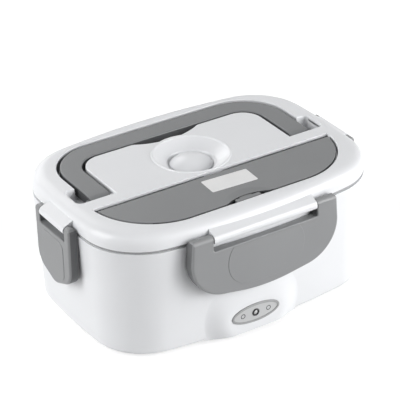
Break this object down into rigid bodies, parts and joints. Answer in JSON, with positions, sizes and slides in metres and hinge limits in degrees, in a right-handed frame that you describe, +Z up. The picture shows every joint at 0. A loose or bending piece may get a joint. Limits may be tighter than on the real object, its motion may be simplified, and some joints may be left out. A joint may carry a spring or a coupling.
{
  "type": "electric lunch box",
  "caption": "Heated lunch box with a lift-out steel tray, clip-down lid, folding carry handle, covered cutlery recess and steam vent.",
  "frame": {"origin": "middle of the underside, on the plane the feet stand on", "axes": "+X along the length, front clip and indicator face -Y, +Z up"},
  "size_m": [0.2376, 0.1694, 0.0994],
  "materials": {
    "white_shell": "moulded polypropylene, satin gloss",
    "liner_white": "moulded polypropylene",
    "grey_plastic": "moulded grey plastic, fine satin",
    "clip_grey": "moulded grey plastic, fine satin",
    "seal_silicone": "silicone rubber",
    "vent_white": "satin plastic",
    "steel": "brushed stainless steel",
    "aluminium": "pressed aluminium",
    "heater_foil": "insulating film",
    "zinc_screw": "zinc-plated steel",
    "dark_plastic": "dark moulded plastic",
    "fuse_body": "metal case",
    "wire_red": "insulated wire",
    "wire_dark": "insulated wire",
    "board_green": "circuit board",
    "panel_grey": "satin plastic",
    "lamp_black": "gloss plastic ring and lens",
    "brass": "plated brass",
    "foot_rubber": "soft rubber"
  },
  "bodies": {
    "base": {"base_shell": "white_shell", "well_liner": "liner_white", "heating_plate": "aluminium", "ptc_heater": "heater_foil", "heater_clamp": "steel", "clamp_screws": "zinc_screw", "thermostat": "dark_plastic", "thermal_fuse": "fuse_body", "supply_wires": "wire_red", "lamp_wires": "wire_dark", "lamp_board": "board_green", "indicator_panel": "panel_grey", "indicator_lamp": "lamp_black", "power_inlet": "dark_plastic", "inlet_pins": "brass", "bottom_cover": "white_shell", "bottom_screws": "zinc_screw", "rubber_feet": "foot_rubber"},
    "lid": {"lid_cover": "white_shell", "lid_liner": "liner_white", "lid_seal": "seal_silicone", "handle_pins": "steel", "spoon": "steel", "fork": "steel"},
    "handle": {"carry_handle": "grey_plastic"},
    "cutlery_lid": {"cutlery_cover": "grey_plastic"},
    "vent": {"steam_plug": "vent_white"},
    "front_catch": {"front_clip": "clip_grey"},
    "rear_catch": {"rear_clip": "clip_grey"},
    "left_catch": {"left_clip": "clip_grey"},
    "right_catch": {"right_clip": "clip_grey"},
    "tray": {"food_container": "steel"}
  },
  "joints": [
    {"name": "lid_lift", "type": "slide", "parent": "base", "child": "lid", "axis": [0, 0, 1], "range_m": [0, 0.12]},
    {"name": "tray_lift", "type": "slide", "parent": "base", "child": "tray", "axis": [0, 0, 1], "range_m": [0, 0.06]},
    {"name": "handle_swing", "type": "hinge", "parent": "lid", "child": "handle", "pos_m": [0, -0.0012, 0.09255], "axis": [1, 0, 0], "range_deg": [0, 90]},
    {"name": "cutlery_lid_swing", "type": "hinge", "parent": "lid", "child": "cutlery_lid", "pos_m": [0, -0.0236, 0.09625], "axis": [-1, 0, 0], "range_deg": [0, 95]},
    {"name": "vent_pull", "type": "slide", "parent": "lid", "child": "vent", "axis": [0, 0, 1], "range_m": [0, 0.005]},
    {"name": "front_catch_swing", "type": "hinge", "parent": "lid", "child": "front_catch", "pos_m": [0, -0.081, 0.0876], "axis": [-1, 0, 0], "range_deg": [0, 110]},
    {"name": "rear_catch_swing", "type": "hinge", "parent": "lid", "child": "rear_catch", "pos_m": [0, 0.081, 0.0876], "axis": [1, 0, 0], "range_deg": [0, 110]},
    {"name": "left_catch_swing", "type": "hinge", "parent": "lid", "child": "left_catch", "pos_m": [-0.1151, 0, 0.0876], "axis": [0, 1, 0], "range_deg": [0, 110]},
    {"name": "right_catch_swing", "type": "hinge", "parent": "lid", "child": "right_catch", "pos_m": [0.1151, 0, 0.0876], "axis": [0, -1, 0], "range_deg": [0, 110]}
  ],
  "couplings": [
    {"joint": "tray_lift", "follows": "lid_lift", "ratio": 0.5}
  ]
}
